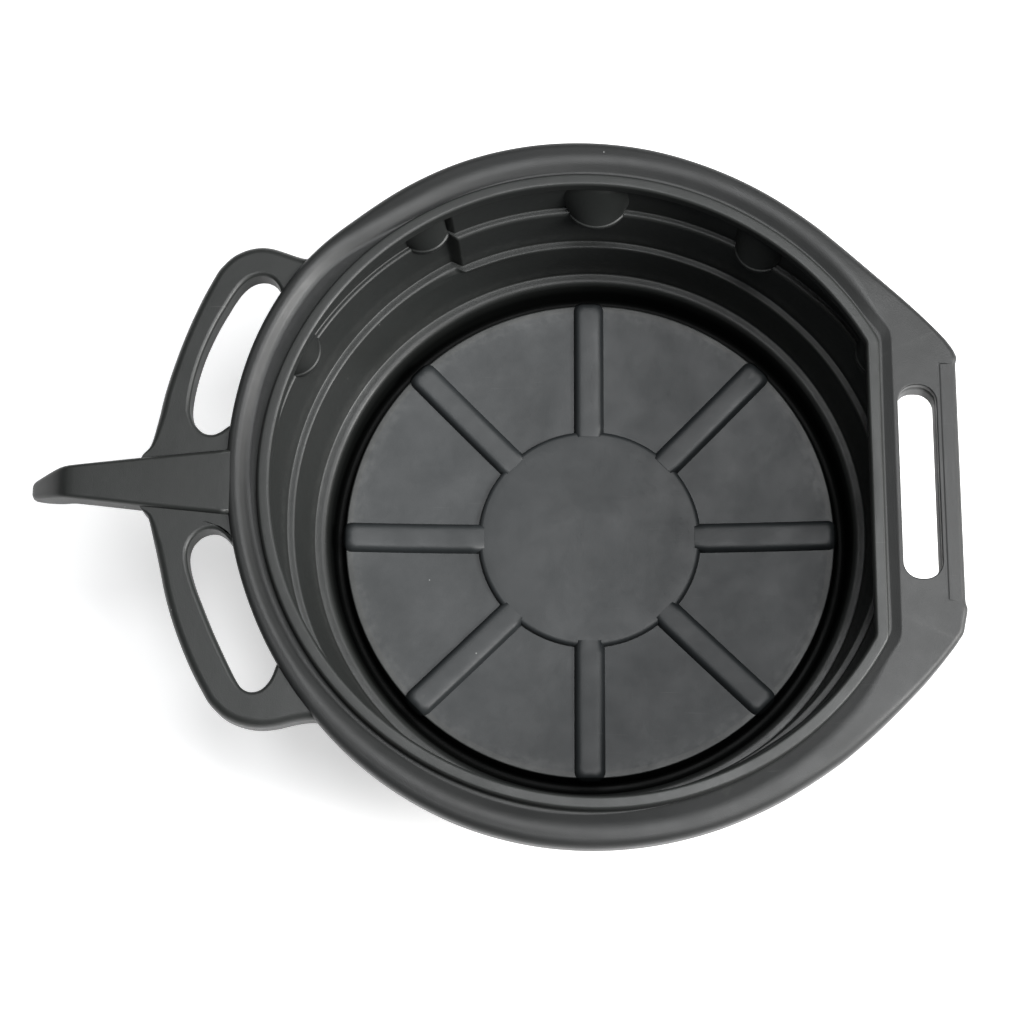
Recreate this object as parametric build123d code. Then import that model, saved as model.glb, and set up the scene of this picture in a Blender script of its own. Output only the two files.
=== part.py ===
from build123d import *
import math
import os

# Oil drain pan: a round, stepped tub with an inward splash lip, a grooved rim
# flange that widens into a slotted grip on +X, and on -X two loop handles with
# a tapered hooked arm between them. The real pan is one plastic moulding; each
# node below is one named region of it, and neighbours meet face to face.
# Origin: tub axis at the surface the pan stands on. +Z up, +X towards the grip.

# ---------------------------------------------------------------- dimensions
T = 3.0                      # wall thickness

# floor
R_PLATEAU = 161.0            # edge of the raised floor
Z_PLATEAU = 17.0             # its height at the edge
DISH = 9.0                   # how much lower the middle of the floor is
R_DISC = 73.5                # raised centre disc
H_DISC = 4.0
N_RIBS = 8
RIB_W_BASE = 20.0
RIB_W_TOP = 12.0
RIB_TOP_DROP = 0.6           # rib tops lie this much below the disc rim

# foot channel and wall profile: (radius, height) of the inside surface
FOOT_IN = [(161.0, 17.0), (162.5, 4.2), (163.7, 3.0), (168.0, 3.0), (169.4, 4.4), (171.6, 21.0), (174.5, 27.0)]
FOOT_OUT = [(158.0, 14.0), (159.4, 1.4), (160.8, 0.0), (171.0, 0.0), (172.4, 1.4), (174.8, 20.2), (177.0, 24.0)]
LEDGE1 = (180.5, 27.0)
LEDGE1_OUT = (183.5, 24.0)

# main wall (three quarters of the way round, grip side)
MAIN_LOW_IN = [(180.5, 27.0), (183.8, 68.0), (188.6, 68.0)]
MAIN_LOW_OUT = [(183.5, 24.0), (186.8, 65.0), (191.6, 65.0)]
MAIN_UP_IN = [(188.6, 68.0), (189.4, 112.0), (194.0, 112.0), (196.4, 143.0)]
MAIN_UP_OUT = [(191.6, 65.0), (192.4, 109.0), (197.0, 109.0), (199.6, 143.0)]
# bulged wall (handle side)
BULGE_LOW_IN = [(180.5, 27.0), (189.8, 68.0), (194.6, 68.0)]
BULGE_LOW_OUT = [(183.5, 24.0), (192.8, 65.0), (197.6, 65.0)]
BULGE_UP_IN = [(194.6, 68.0), (200.4, 112.0), (204.2, 112.0), (205.4, 143.0)]
BULGE_UP_OUT = [(197.6, 65.0), (203.4, 109.0), (207.2, 109.0), (208.6, 143.0)]
BULGE_HALF = 117.2           # the bulge starts at this angle either side of +X

# stiffening lugs in the upper wall, on the +Y side only: angle, radius at which
# the nose stands, radius of the half-round. They lean back and widen upwards.
LUGS = [(24.3, 186.5, 16.5), (56.3, 184.1, 16.5), (88.3, 181.3, 20.8), (120.3, 194.0, 16.5), (152.3, 195.2, 16.5)]
LUG_DEPTH_TOP = 3.0          # how far a lug still stands out under the lip
LUG_SHELF = 1.5              # narrow shelf that the upper ledge makes round each lug
Z_LUG = 112.0                # a lug stands on the upper ledge
LUG_SHELF_H = 4.0
Z_LUG_LOW = 94.0             # the shelf's underside tapers back into the wall here

# rim levels
Z_UNDER = 143.0              # underside of lip, groove floor and flange
Z_LIP = 152.0                # top of the splash lip
Z_GROOVE = 146.0             # groove floor
Z_FLANGE = 147.5             # flange plate top
Z_CREST = 151.0              # raised bead along the groove's outer side
Z_SKIRT = 134.0              # lower edge of the rim skirt
Z_GRIP_LOW = 126.0           # lower edge of the grip's skirt and slot collar

# rim outlines, oval by a few millimetres: radius = mean + oval*cos(2(a-a0))
R_LIP_OUT = 201.6
OVAL = 2.6
OVAL_A0 = 145.0
LIP_W = 8.0
X_LIP_OUT = 179.0            # straight side of the D-shaped mouth
X_GROOVE = 185.0             # groove outer side along the straight

# groove's outer side, angle and radius
CREST = [(30, 206.8), (40, 206.6), (52, 206.8), (64, 207.2), (76, 207.8), (88, 208.6), (100, 209.4), (112, 210.0), (124, 210.8),
         (130, 213.6), (135, 217.4), (140, 219.6), (146, 219.8), (154, 218.8), (162, 217.4), (171, 215.4), (180, 213.2),
         (190, 211.2), (200, 209.8), (210, 208.6), (220, 207.6), (232, 207.0), (246, 207.4), (260, 208.2), (275, 208.6),
         (290, 208.6), (305, 208.2), (318, 207.6), (330, 207.4)]
# flange outline, angle and radius
OUTLINE = [(20.6, 240.6), (22.4, 238.9), (25, 235.6), (30, 229.6), (35, 224.8), (40, 221.6), (45, 220.0), (50, 219.6), (60, 219.9), (70, 221.0),
           (80, 222.8), (90, 224.4), (100, 225.8), (110, 226.7), (120, 226.8), (130, 227.0), (137, 228.4), (144, 229.0), (152, 228.0),
           (160, 226.3), (170, 224.0), (180, 221.8), (190, 220.0), (200, 218.8), (210, 218.6), (220, 219.2), (230, 220.3),
           (240, 221.2), (250, 222.2), (260, 222.8), (270, 223.2), (280, 223.6), (290, 224.2), (300, 225.2), (310, 227.2),
           (315, 228.6), (320, 230.6), (325, 233.4), (330, 237.0), (335, 241.4), (337.2, 243.4)]
X_GRIP = 226.2               # straight outer edge of the grip
GRIP_NOTCH = 76.0            # half length of that straight

# grip slot
SLOT_X0, SLOT_X1 = 189.6, 213.0
SLOT_HALF = 61.0
X_WALL_FLAT = 189.4          # the upper wall is flat here, beside the slot

# loop handles: outer outline and slot, as (x, y)
Z_LOOP_TOP, Z_LOOP_LOW = 147.0, 130.0
UP_OUTER = [(-166, 152.5), (-176, 148.2), (-188, 151.8), (-198, 155.2), (-206, 156.0), (-215, 154.2), (-224, 149.4), (-232, 141.0), (-241, 123.0),
            (-250, 101.0), (-257, 80.0), (-262.5, 60.0), (-266, 42.0), (-268.6, 29.0), (-272, 22.0), (-278, 17.5)]
UP_SLOT = [(-212.0, 40.5), (-221.5, 38.5), (-227, 33.2), (-234, 32.2), (-241, 36.4), (-246, 43.5), (-245.6, 60.0), (-240.6, 82.0), (-232.4, 103.0), (-222.4, 122.0),
           (-216.6, 130.2), (-210.6, 134.8), (-204, 136.2), (-197.5, 134.0), (-192.6, 128.0), (-189, 121.0)]
LOW_OUTER = [(-150, -154.0), (-163, -146.0), (-174, -146.6), (-188, -149.8), (-198, -150.6), (-208, -149.0), (-219, -144.2), (-229, -135.0), (-240, -115.0),
             (-250, -92.0), (-257, -71.0), (-262, -50.0), (-266, -32.0), (-268.4, -23.0), (-272, -17.5), (-278, -14.5)]
LOW_SLOT = [(-208.0, -40.0), (-217.0, -37.5), (-222, -31.4), (-229.5, -28.0), (-238, -30.4), (-243.6, -36.5), (-244.2, -46.0), (-241, -60.0), (-235, -75.0), (-227.6, -92.0),
            (-218.8, -110.0), (-213, -120.8), (-208, -127.2), (-203, -129.2), (-197, -127.8), (-192, -123.0), (-189.2, -115.0)]

# hooked arm: plan half outlines and side profile
Z_ARM_TOP = 151.6
ARM_FAR = [(-215, 23.2), (-275, 17.6), (-324, 12.6), (-346.5, 8.2)]
ARM_NEAR = [(-346.5, -3.6), (-324, -8.6), (-275, -14.4), (-215, -20.4)]
ARM_SIDE = [(-215, Z_ARM_TOP), (-323, Z_ARM_TOP), (-346.5, 128.0), (-346.5, 122.0), (-337, 121.0), (-318, 136.0), (-215, 136.0)]


# ------------------------------------------------------------------- helpers
def ring(points, arc=360.0, start=0.0):
    """Solid of revolution about Z from a closed (radius, height) polygon."""
    face = Plane.XZ * make_face(Polyline(*points, close=True))
    return Rot(0, 0, start) * revolve(face, axis=Axis.Z, revolution_arc=arc)


def polar(a, r):
    return (r * math.cos(math.radians(a)), r * math.sin(math.radians(a)))


def prism(face, z0, z1):
    return Pos(0, 0, z0) * extrude(face, z1 - z0, dir=(0, 0, 1))


def oval_d(r_mean, x_flat):
    """D-shaped face: slightly oval curve closed by a straight at x_flat."""
    def rad(a):
        return r_mean + OVAL * math.cos(math.radians(2 * (a - OVAL_A0)))
    def corner(sign):
        a = math.degrees(math.acos(x_flat / r_mean))
        for _ in range(30):
            a = math.degrees(math.acos(x_flat / rad(sign * a)))
        return a
    a0, a1 = corner(1), corner(-1)
    n = 14
    pts = [polar(a0 + (360 - a0 - a1) * k / n, rad(a0 + (360 - a0 - a1) * k / n)) for k in range(n + 1)]
    return make_face(Spline(*pts) + Line(pts[-1], pts[0]))


def vertical_fillet(solid, radius, picks):
    edges = [e for e in solid.edges().filter_by(Axis.Z) if any(abs(e.center().X - x) < 3 and abs(e.center().Y - y) < 6 for x, y in picks)]
    return fillet(edges, radius)


def crest_face(grow=0.0):
    pts = [polar(a, r + grow) for a, r in CREST]
    top, low = (X_GROOVE + grow, 96.0), (X_GROOVE + grow, -97.0)
    return make_face(Spline(*pts) + Line(pts[-1], low) + Line(low, top) + Line(top, pts[0]))


def outline_face(inset=0.0):
    def pull(a, r):
        # constant-width inset: the slanted corner stretches need a larger radial step
        k = 1.0 if 52 <= a <= 300 else 1.22
        return polar(a, r - inset * k)
    pts = [pull(a, r) for a, r in OUTLINE]
    x = X_GRIP - inset
    top, low = (x, GRIP_NOTCH), (x, -GRIP_NOTCH)
    top2, low2 = (x + 1.3, GRIP_NOTCH + 3), (x + 1.3, -GRIP_NOTCH - 3)
    return make_face(Spline(*pts) + Line(pts[-1], low2) + Line(low2, low) + Line(low, top) + Line(top, top2) + Line(top2, pts[0]))


def loop_face(outer, slot):
    shape = make_face(Spline(*outer) + Line(outer[-1], (-200, 0)) + Line((-200, 0), outer[0]))
    hole = make_face(Spline(*slot) + Line(slot[-1], slot[0]))
    return shape - hole


nodes = {}

# --------------------------------------------------------------------- floor
z_mid = Z_PLATEAU - DISH
arc_top = ThreePointArc((-R_PLATEAU, Z_PLATEAU), (0, z_mid), (R_PLATEAU, Z_PLATEAU))
arc_low = ThreePointArc((-158.0, 14.0), (0, z_mid - T), (158.0, 14.0))


def half_face(edge_top, r_top, edge_low, r_low, pts):
    """Right half of the dished panel between two arcs, as a face in XZ."""
    body = make_face(edge_top + Line((r_top, edge_top @ 1 and Z_PLATEAU), (r_low, 14.0)) + edge_low + Line((-r_low, 14.0), (-r_top, Z_PLATEAU)))
    cut = Pos(pts / 2, 0) * Rectangle(pts, 200)
    return body & cut


panel_face = half_face(arc_top, R_PLATEAU, arc_low, 158.0, 400)
floor_panel = revolve(Plane.XZ * panel_face, axis=Axis.Z)

# space above the dished floor, used to seat the disc and the ribs on it
bowl_cut = make_face(ThreePointArc((-R_PLATEAU, Z_PLATEAU), (0, z_mid), (R_PLATEAU, Z_PLATEAU))
                     + Polyline((R_PLATEAU, Z_PLATEAU), (R_PLATEAU, 60), (-R_PLATEAU, 60), (-R_PLATEAU, Z_PLATEAU)))
above_floor = revolve(Plane.XZ * (bowl_cut & (Pos(200, 0) * Rectangle(400, 400))), axis=Axis.Z)


def floor_z(r):
    big = (R_PLATEAU ** 2 + DISH ** 2) / (2 * DISH)
    return z_mid + big - math.sqrt(big * big - r * r)


z_disc = floor_z(R_DISC) + H_DISC
center_disc = Cylinder(R_DISC, 40, align=(Align.CENTER, Align.CENTER, Align.MIN)) & above_floor
center_disc = center_disc & (Pos(0, 0, z_disc - 50) * Cylinder(R_DISC + 5, 50, align=(Align.CENTER, Align.CENTER, Align.MIN)))
nodes["center_disc"] = fillet(center_disc.edges().sort_by(Axis.Z)[-1], 1.6)

rib_sec = make_face(Polyline((0, -RIB_W_BASE / 2, 0), (0, RIB_W_BASE / 2, 0), (0, RIB_W_TOP / 2, 5.0), (0, -RIB_W_TOP / 2, 5.0), close=True))
ribs = None
for k in range(N_RIBS):
    z0 = floor_z(R_DISC) - 1.0
    z1 = floor_z(R_PLATEAU) - 1.0
    slope = math.degrees(math.atan2(z1 - z0, R_PLATEAU - R_DISC))
    bar = extrude(rib_sec, 110, dir=(1, 0, 0))
    bar = Pos(R_DISC - 12, 0, z0 - 12 * math.tan(math.radians(slope)) - RIB_TOP_DROP) * Rot(0, -slope, 0) * bar
    bar = bar & above_floor
    bar = bar - Cylinder(R_DISC, 120)
    bar = bar & Cylinder(R_PLATEAU - 0.01, 120)
    bar = Rot(0, 0, 360.0 / N_RIBS * k) * bar
    ribs = bar if ribs is None else ribs + bar
nodes["floor_ribs"] = ribs
nodes["floor_panel"] = floor_panel

# --------------------------------------------------------------- tub and foot
nodes["foot_riser"] = ring(FOOT_IN[:2] + FOOT_OUT[:2][::-1])
nodes["foot_ring"] = ring(FOOT_IN[1:5] + FOOT_OUT[1:5][::-1])
nodes["channel_wall"] = ring(FOOT_IN[4:] + FOOT_OUT[4:][::-1])
nodes["first_ledge"] = ring([FOOT_IN[-1], LEDGE1, LEDGE1_OUT, FOOT_OUT[-1]])
nodes["lower_wall"] = ring(MAIN_LOW_IN + MAIN_LOW_OUT[::-1], 2 * BULGE_HALF, -BULGE_HALF)
upper_wall = ring(MAIN_UP_IN + MAIN_UP_OUT[::-1], 2 * BULGE_HALF, -BULGE_HALF)
# beside the grip slot the flared top of this wall is cut off flat
flat_zone = Pos(X_WALL_FLAT - T, 0, MAIN_UP_IN[0][1]) * Box(T, 240, 143 - MAIN_UP_IN[0][1], align=(Align.MIN, Align.CENTER, Align.MIN))
flat_wall = flat_zone & ring([(0, MAIN_UP_IN[0][1])] + MAIN_UP_IN + [(0, 143)])
beyond_flat = Pos(X_WALL_FLAT, 0, 60) * Box(50, 300, 118, align=(Align.MIN, Align.CENTER, Align.MIN))
nodes["upper_wall"] = (upper_wall - beyond_flat) + flat_wall
nodes["lower_wall"] = nodes["lower_wall"] - beyond_flat
bulge_arc = 360 - 2 * BULGE_HALF
nodes["lower_bulge_wall"] = ring(BULGE_LOW_IN + BULGE_LOW_OUT[::-1], bulge_arc, BULGE_HALF)
nodes["upper_bulge_wall"] = ring(BULGE_UP_IN + BULGE_UP_OUT[::-1], bulge_arc, BULGE_HALF)
step_poly = MAIN_LOW_OUT + MAIN_UP_OUT[1:] + BULGE_UP_OUT[::-1] + BULGE_LOW_OUT[::-1][1:-1]
step_arc = math.degrees(T / 192.0)
nodes["wall_steps"] = ring(step_poly, step_arc, BULGE_HALF - step_arc) + ring(step_poly, step_arc, -BULGE_HALF)

# lugs stand on the inside of the upper wall
lugs = None
inside_main = ring([(0, 20)] + [MAIN_UP_IN[0], MAIN_UP_IN[1], MAIN_UP_IN[2], MAIN_UP_IN[3]] + [(0, 143)], 2 * BULGE_HALF - 2 * step_arc, -BULGE_HALF + step_arc)
inside_bulge = ring([(0, 20)] + [BULGE_UP_IN[0], BULGE_UP_IN[1], BULGE_UP_IN[2], BULGE_UP_IN[3]] + [(0, 143)], bulge_arc, BULGE_HALF)
for ang, nose, rad in LUGS:
    bulged = ang > BULGE_HALF
    wall_in = BULGE_UP_IN if bulged else MAIN_UP_IN
    r_axis = nose + rad
    chord = 0.82 * rad
    rad_top = (chord ** 2 + LUG_DEPTH_TOP ** 2) / (2 * LUG_DEPTH_TOP)
    low = Pos(0, 0, Z_LUG - 1) * Circle(rad)
    high = Pos(wall_in[3][0] - LUG_DEPTH_TOP + rad_top - r_axis, 0, 143) * Circle(rad_top)
    body = loft([low, high])
    shelf = Pos(0, 0, Z_LUG - LUG_SHELF_H) * Cylinder(rad + LUG_SHELF, LUG_SHELF_H, align=(Align.CENTER, Align.CENTER, Align.MIN))
    taper = Pos(0, 0, Z_LUG_LOW) * Cone(max(r_axis - wall_in[1][0] + 0.6, 4), rad + LUG_SHELF, Z_LUG - LUG_SHELF_H - Z_LUG_LOW, align=(Align.CENTER, Align.CENTER, Align.MIN))
    lug = Rot(0, 0, ang) * (Pos(r_axis, 0, 0) * (body + shelf + taper))
    lug = lug & (inside_bulge if bulged else inside_main)
    lugs = lug if lugs is None else lugs + lug
nodes["wall_lugs"] = lugs

# ----------------------------------------------------------------------- rim
lip_out = oval_d(R_LIP_OUT, X_LIP_OUT)
lip_in = oval_d(R_LIP_OUT - LIP_W, X_LIP_OUT - LIP_W)
corners = [(X_LIP_OUT, 90), (X_LIP_OUT, -98), (X_LIP_OUT, 93), (X_LIP_OUT, -93)]
corners_in = [(X_LIP_OUT - LIP_W, 88), (X_LIP_OUT - LIP_W, -95), (X_LIP_OUT - LIP_W, 92), (X_LIP_OUT - LIP_W, -91)]
lip_out_s = vertical_fillet(prism(lip_out, Z_UNDER - 20, Z_LIP + 20), 12.0, corners)
lip_in_s = vertical_fillet(prism(lip_in, Z_UNDER - 20, Z_LIP + 20), 8.0, corners_in)
slab = lambda z0, z1: Pos(0, 0, z0) * Box(900, 900, z1 - z0, align=(Align.CENTER, Align.CENTER, Align.MIN))
lip = (lip_out_s - lip_in_s) & slab(Z_UNDER, Z_LIP)
lip = fillet(lip.faces().sort_by(Axis.Z)[-1].edges(), 2.6)
nodes["splash_lip"] = lip

crest_s = vertical_fillet(prism(crest_face(), Z_UNDER - 20, Z_LIP + 20), 12.0, [(X_GROOVE, 96), (X_GROOVE, -97)])
nodes["rim_groove"] = (crest_s - lip_out_s) & slab(Z_UNDER, Z_GROOVE)

outline = outline_face()
outline_s = prism(outline, 100, 180)
flange = (outline_s - crest_s) & slab(Z_UNDER, Z_FLANGE)
grip_zone = Pos(X_GROOVE + 50, 0, 0) * Box(100, 600, 600)
grip_plate = flange & grip_zone
flange = flange - grip_zone
# raised bead along the groove
crest_wide = prism(crest_face(5.5), Z_UNDER - 20, Z_LIP + 20)
bead = (crest_wide - crest_s) & slab(Z_FLANGE, Z_CREST)
bead = (bead - grip_zone) & outline_s
flange = flange + bead
nodes["rim_flange"] = flange

skirt_in = prism(outline_face(T), 90, 190)
skirt = (outline_s - skirt_in)
nodes["rim_skirt"] = (skirt & slab(Z_SKIRT, Z_UNDER)) - grip_zone

# grip: top plate, collar round the slot and a deeper outer skirt
slot_w = SLOT_X1 - SLOT_X0
slot_mid = (SLOT_X0 + SLOT_X1) / 2
slot_cut = Pos(slot_mid, 0, 90) * extrude(Rot(0, 0, 90) * SlotOverall(2 * SLOT_HALF, slot_w), 100, dir=(0, 0, 1))
slot_out = Pos(slot_mid, 0, 90) * extrude(Rot(0, 0, 90) * SlotOverall(2 * SLOT_HALF + 2 * T, slot_w + 2 * T), 100, dir=(0, 0, 1))
nodes["grip_plate"] = grip_plate - slot_cut
collar = (slot_out - slot_cut) & slab(Z_GRIP_LOW, Z_UNDER)
wall_core = ring([(0, 109)] + [MAIN_UP_OUT[2], MAIN_UP_OUT[3]] + [(0, 143)]) - beyond_flat
collar = collar - wall_core
nodes["grip_slot_collar"] = collar
nodes["grip_skirt"] = (skirt & slab(Z_GRIP_LOW, Z_UNDER)) & grip_zone

# ------------------------------------------------------------ handles and arm
arm_plan = prism(make_face(Polyline(*(ARM_FAR + ARM_NEAR), close=True)), 100, 180)
arm_side = Plane.XZ * make_face(Polyline(*ARM_SIDE, close=True))
arm = extrude(arm_side, 60, dir=(0, 1, 0)) + extrude(arm_side, 60, dir=(0, -1, 0))
arm = (arm & arm_plan) - outline_s
arm_shadow = prism(make_face(Polyline(*(ARM_FAR + ARM_NEAR), close=True)), 90, 190)
nodes["hooked_arm"] = arm
for name, outer, slot in (("upper_loop_handle", UP_OUTER, UP_SLOT), ("lower_loop_handle", LOW_OUTER, LOW_SLOT)):
    loop = prism(loop_face(outer, slot), Z_LOOP_LOW, Z_LOOP_TOP) - outline_s - arm_shadow
    side = 1 if name.startswith("upper") else -1
    keep = max(loop.solids(), key=lambda s: s.volume)
    nodes[name] = keep

# --------------------------------------------------------------------- write
os.makedirs("parts", exist_ok=True)
for name, shape in nodes.items():
    export_step(shape, f"parts/{name}.step")
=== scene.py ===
import bpy
import math
import numpy as np
from mathutils import Matrix, Vector
from mathutils.geometry import delaunay_2d_cdt


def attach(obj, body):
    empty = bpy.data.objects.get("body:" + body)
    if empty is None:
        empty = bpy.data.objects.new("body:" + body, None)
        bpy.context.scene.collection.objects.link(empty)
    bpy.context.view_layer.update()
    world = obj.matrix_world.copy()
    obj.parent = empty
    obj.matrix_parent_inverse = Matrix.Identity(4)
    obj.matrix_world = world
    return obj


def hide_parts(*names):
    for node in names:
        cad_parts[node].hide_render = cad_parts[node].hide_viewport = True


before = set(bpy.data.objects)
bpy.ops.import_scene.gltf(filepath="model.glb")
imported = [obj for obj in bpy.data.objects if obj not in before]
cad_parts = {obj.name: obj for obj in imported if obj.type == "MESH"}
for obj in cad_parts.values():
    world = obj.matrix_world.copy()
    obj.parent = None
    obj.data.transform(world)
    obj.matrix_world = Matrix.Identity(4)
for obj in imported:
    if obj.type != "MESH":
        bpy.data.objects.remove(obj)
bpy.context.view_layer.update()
MM = 0.001

# Oil drain pan, in millimetres until the meshes are written in metres.
# One black moulding: a polar sweep for tub and rim, and separate closed pieces for
# the ribs, lugs, grip, loops and arm. Neighbouring pieces share their edge points
# and their normals, so the moulding shows no seams.

# ---------------------------------------------------------------- dimensions
R_PLATEAU, Z_PLATEAU, DISH = 161.0, 17.0, 9.0
R_DISC, H_DISC = 73.5, 4.0
BIG = (R_PLATEAU ** 2 + DISH ** 2) / (2 * DISH)
X_GRIP, NOTCH = 226.2, 76.0
SLOT_X0, SLOT_X1, SLOT_HALF, SLOT_R = 189.6, 213.0, 61.0, 10.6
X_LIP_OUT, X_LIP_IN, X_GROOVE = 179.0, 171.0, 185.2
THG = 24.0                   # the grip piece spans this angle either side of +X

CREST = [(30, 206.8), (40, 206.6), (52, 206.8), (64, 207.2), (76, 207.8), (88, 208.6), (100, 209.4), (112, 210.0), (124, 210.8),
         (130, 213.6), (135, 217.4), (140, 219.6), (146, 219.8), (154, 218.8), (162, 217.4), (171, 215.4), (180, 213.2),
         (190, 211.2), (200, 209.8), (210, 208.6), (220, 207.6), (232, 207.0), (246, 207.4), (260, 208.2), (275, 208.6),
         (290, 208.6), (305, 208.2), (318, 207.6), (330, 207.4)]
OUTLINE = [(20.6, 240.6), (22.4, 238.9), (25, 235.6), (30, 229.6), (35, 224.8), (40, 221.6), (45, 220.0), (50, 219.6), (60, 219.9), (70, 221.0),
           (80, 222.8), (90, 224.4), (100, 225.8), (110, 226.7), (120, 226.8), (130, 227.0), (137, 228.4), (144, 229.0), (152, 228.0),
           (160, 226.3), (170, 224.0), (180, 221.8), (190, 220.0), (200, 218.8), (210, 218.6), (220, 219.2), (230, 220.3),
           (240, 221.2), (250, 222.2), (260, 222.8), (270, 223.2), (280, 223.6), (290, 224.2), (300, 225.2), (310, 227.2),
           (315, 228.6), (320, 230.6), (325, 233.4), (330, 237.0), (335, 241.4), (337.2, 243.4)]


# ------------------------------------------------------------- small helpers
def floor_z(r):
    return Z_PLATEAU - DISH + BIG - np.sqrt(BIG * BIG - np.asarray(r, float) ** 2)


def sstep(x, a, b):
    t = np.clip((np.asarray(x, float) - a) / (b - a), 0, 1)
    return t * t * (3 - 2 * t)


def smin(a, b, k):
    h = np.maximum(k - np.abs(a - b), 0) / k
    return np.minimum(a, b) - h * h * k / 4


def pol(a, r):
    return np.array([r * math.cos(math.radians(a)), r * math.sin(math.radians(a))])


def spline(points, per=8, closed=False):
    """Centripetal-like Catmull-Rom curve through 2-D points."""
    P = [np.array(p, float) for p in points]
    n = len(P)
    out = []
    count = n if closed else n - 1
    for i in range(count):
        p1, p2 = P[i], P[(i + 1) % n]
        p0 = P[i - 1] if (closed or i > 0) else p1 * 2 - p2
        p3 = P[(i + 2) % n] if (closed or i + 2 < n) else p2 * 2 - p1
        d0, d1, d2 = (max(np.linalg.norm(b - a), 1e-6) ** 0.5 for a, b in ((p0, p1), (p1, p2), (p2, p3)))
        m1 = (p1 - p0) / d0 - (p2 - p0) / (d0 + d1) + (p2 - p1) / d1
        m2 = (p2 - p1) / d1 - (p3 - p1) / (d1 + d2) + (p3 - p2) / d2
        m1, m2 = m1 * d1, m2 * d1
        for k in range(per):
            t = k / per
            out.append((2 * t ** 3 - 3 * t * t + 1) * p1 + (t ** 3 - 2 * t * t + t) * m1 + (-2 * t ** 3 + 3 * t * t) * p2 + (t ** 3 - t * t) * m2)
    if not closed:
        out.append(P[-1])
    return np.array(out)


def resample(curve, n, closed=True):
    c = np.vstack([curve, curve[:1]]) if closed else curve
    s = np.r_[0, np.cumsum(np.linalg.norm(np.diff(c, axis=0), axis=1))]
    t = np.linspace(0, s[-1], n + 1)[:-1] if closed else np.linspace(0, s[-1], n)
    return np.stack([np.interp(t, s, c[:, 0]), np.interp(t, s, c[:, 1])], -1)


def relax(curve, width):
    """Rounds a closed curve's corners: a moving average over an arc length of width."""
    n = 2400
    c = resample(curve, n)
    step = np.linalg.norm(np.roll(c, -1, 0) - c, axis=1).mean()
    k = max(1, int(round(width / step / 2)))
    for _ in range(2):
        pad = np.vstack([c[-k:], c, c[:k]])
        cs = np.cumsum(np.vstack([np.zeros((1, 2)), pad]), axis=0)
        c = (cs[2 * k + 1:] - cs[:-2 * k - 1]) / (2 * k + 1)
    return c


def as_polar(curve):
    a = np.degrees(np.arctan2(curve[:, 1], curve[:, 0])) % 360
    o = np.argsort(a)
    return a[o], np.linalg.norm(curve, axis=1)[o]


# ---------------------------------------------------------- columns and outlines
cols = set(np.round(np.arange(0, 360, 1.0), 3))
for a, b, d in ((115.0, 118.4, 0.2), (241.6, 245.0, 0.2), (13, 36, 0.5), (324, 347, 0.5), (17.5, 22.5, 0.25), (337.5, 342.5, 0.25), (26, 31, 0.25), (329, 334, 0.25), (126, 146, 0.5)):
    cols |= set(np.round(np.arange(a, b, d), 3))
cols |= {THG, 360 - THG, 115.6, 117.6, 242.4, 244.4}
TH = np.array(sorted(c % 360 for c in cols))
keep = [0]
for i in range(1, len(TH)):
    if TH[i] - TH[keep[-1]] > 0.09:
        keep.append(i)
TH = TH[keep]
NC = len(TH)
RAD = np.radians(TH)
COS, SIN = np.cos(RAD), np.sin(RAD)
AB = np.minimum(TH, 360 - TH)          # angle from +X, either side


def col(a):
    return int(np.argmin(np.abs(TH - (a % 360))))


def chord(x):
    return np.where(COS > 0.05, x / np.maximum(COS, 0.05), 1e4)


oval = 2.6 * np.cos(2 * (RAD - math.radians(145.0)))
R_LO = smin(201.6 + oval, chord(X_LIP_OUT), 1.6)
R_LI = smin(193.6 + oval, chord(X_LIP_IN), 1.0)
crest_pts = spline([pol(a, r) for a, r in CREST], 6)
crest_xy = relax(np.vstack([crest_pts, [[X_GROOVE, -97.0]], [[X_GROOVE, -40]], [[X_GROOVE, 0]], [[X_GROOVE, 40]], [[X_GROOVE, 96.0]]]), 9.0)
R_C = np.interp(TH, *as_polar(crest_xy), period=360)
out_pts = spline([pol(a, r) for a, r in OUTLINE], 6)
outline_xy = relax(np.vstack([out_pts, [[X_GRIP + 1.3, -NOTCH - 3]], [[X_GRIP, -NOTCH]], [[X_GRIP, 0]], [[X_GRIP, NOTCH]], [[X_GRIP + 1.3, NOTCH + 3]]]), 2.6)
R_O = np.interp(TH, *as_polar(outline_xy), period=360)

# ------------------------------------------------------------- profile sweeping
B_STEP = sstep(AB, 115.6, 117.5)        # where the wall steps out, handle side
B_WIDE = sstep(AB, 96.0, 136.0)
B_MID = sstep(AB, 111.0, 122.0)
# inner and outer radii of the two ledges, grip side and handle side
L2_IN = np.interp(AB, [0, 20, 45, 70, 90, 116], [187.0, 186.4, 184.0, 182.8, 183.2, 184.4])
L2_OUT = np.interp(AB, [0, 20, 45, 70, 90, 116], [191.6, 191.2, 188.8, 187.6, 188.2, 190.0])
H2_IN = np.interp(AB, [116, 118, 150, 180], [190.6, 190.6, 190.0, 189.0])
H2_OUT = np.interp(AB, [116, 118, 150, 180], [196.4, 196.2, 195.0, 193.8])
L3_IN = np.interp(AB, [0, 35, 45, 55, 70, 85, 100, 116], [197.0, 195.4, 191.8, 189.8, 188.9, 188.7, 189.7, 191.2])
L3_OUT = np.interp(AB, [0, 35, 45, 55, 70, 85, 100, 116], [201.0, 199.4, 196.8, 194.8, 193.8, 193.8, 194.8, 196.4])
H3_IN = np.interp(AB, [116, 125, 150, 180], [199.8, 200.0, 201.8, 202.2])
H3_OUT = np.interp(AB, [116, 125, 150, 180], [203.6, 203.8, 205.4, 205.8])


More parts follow.
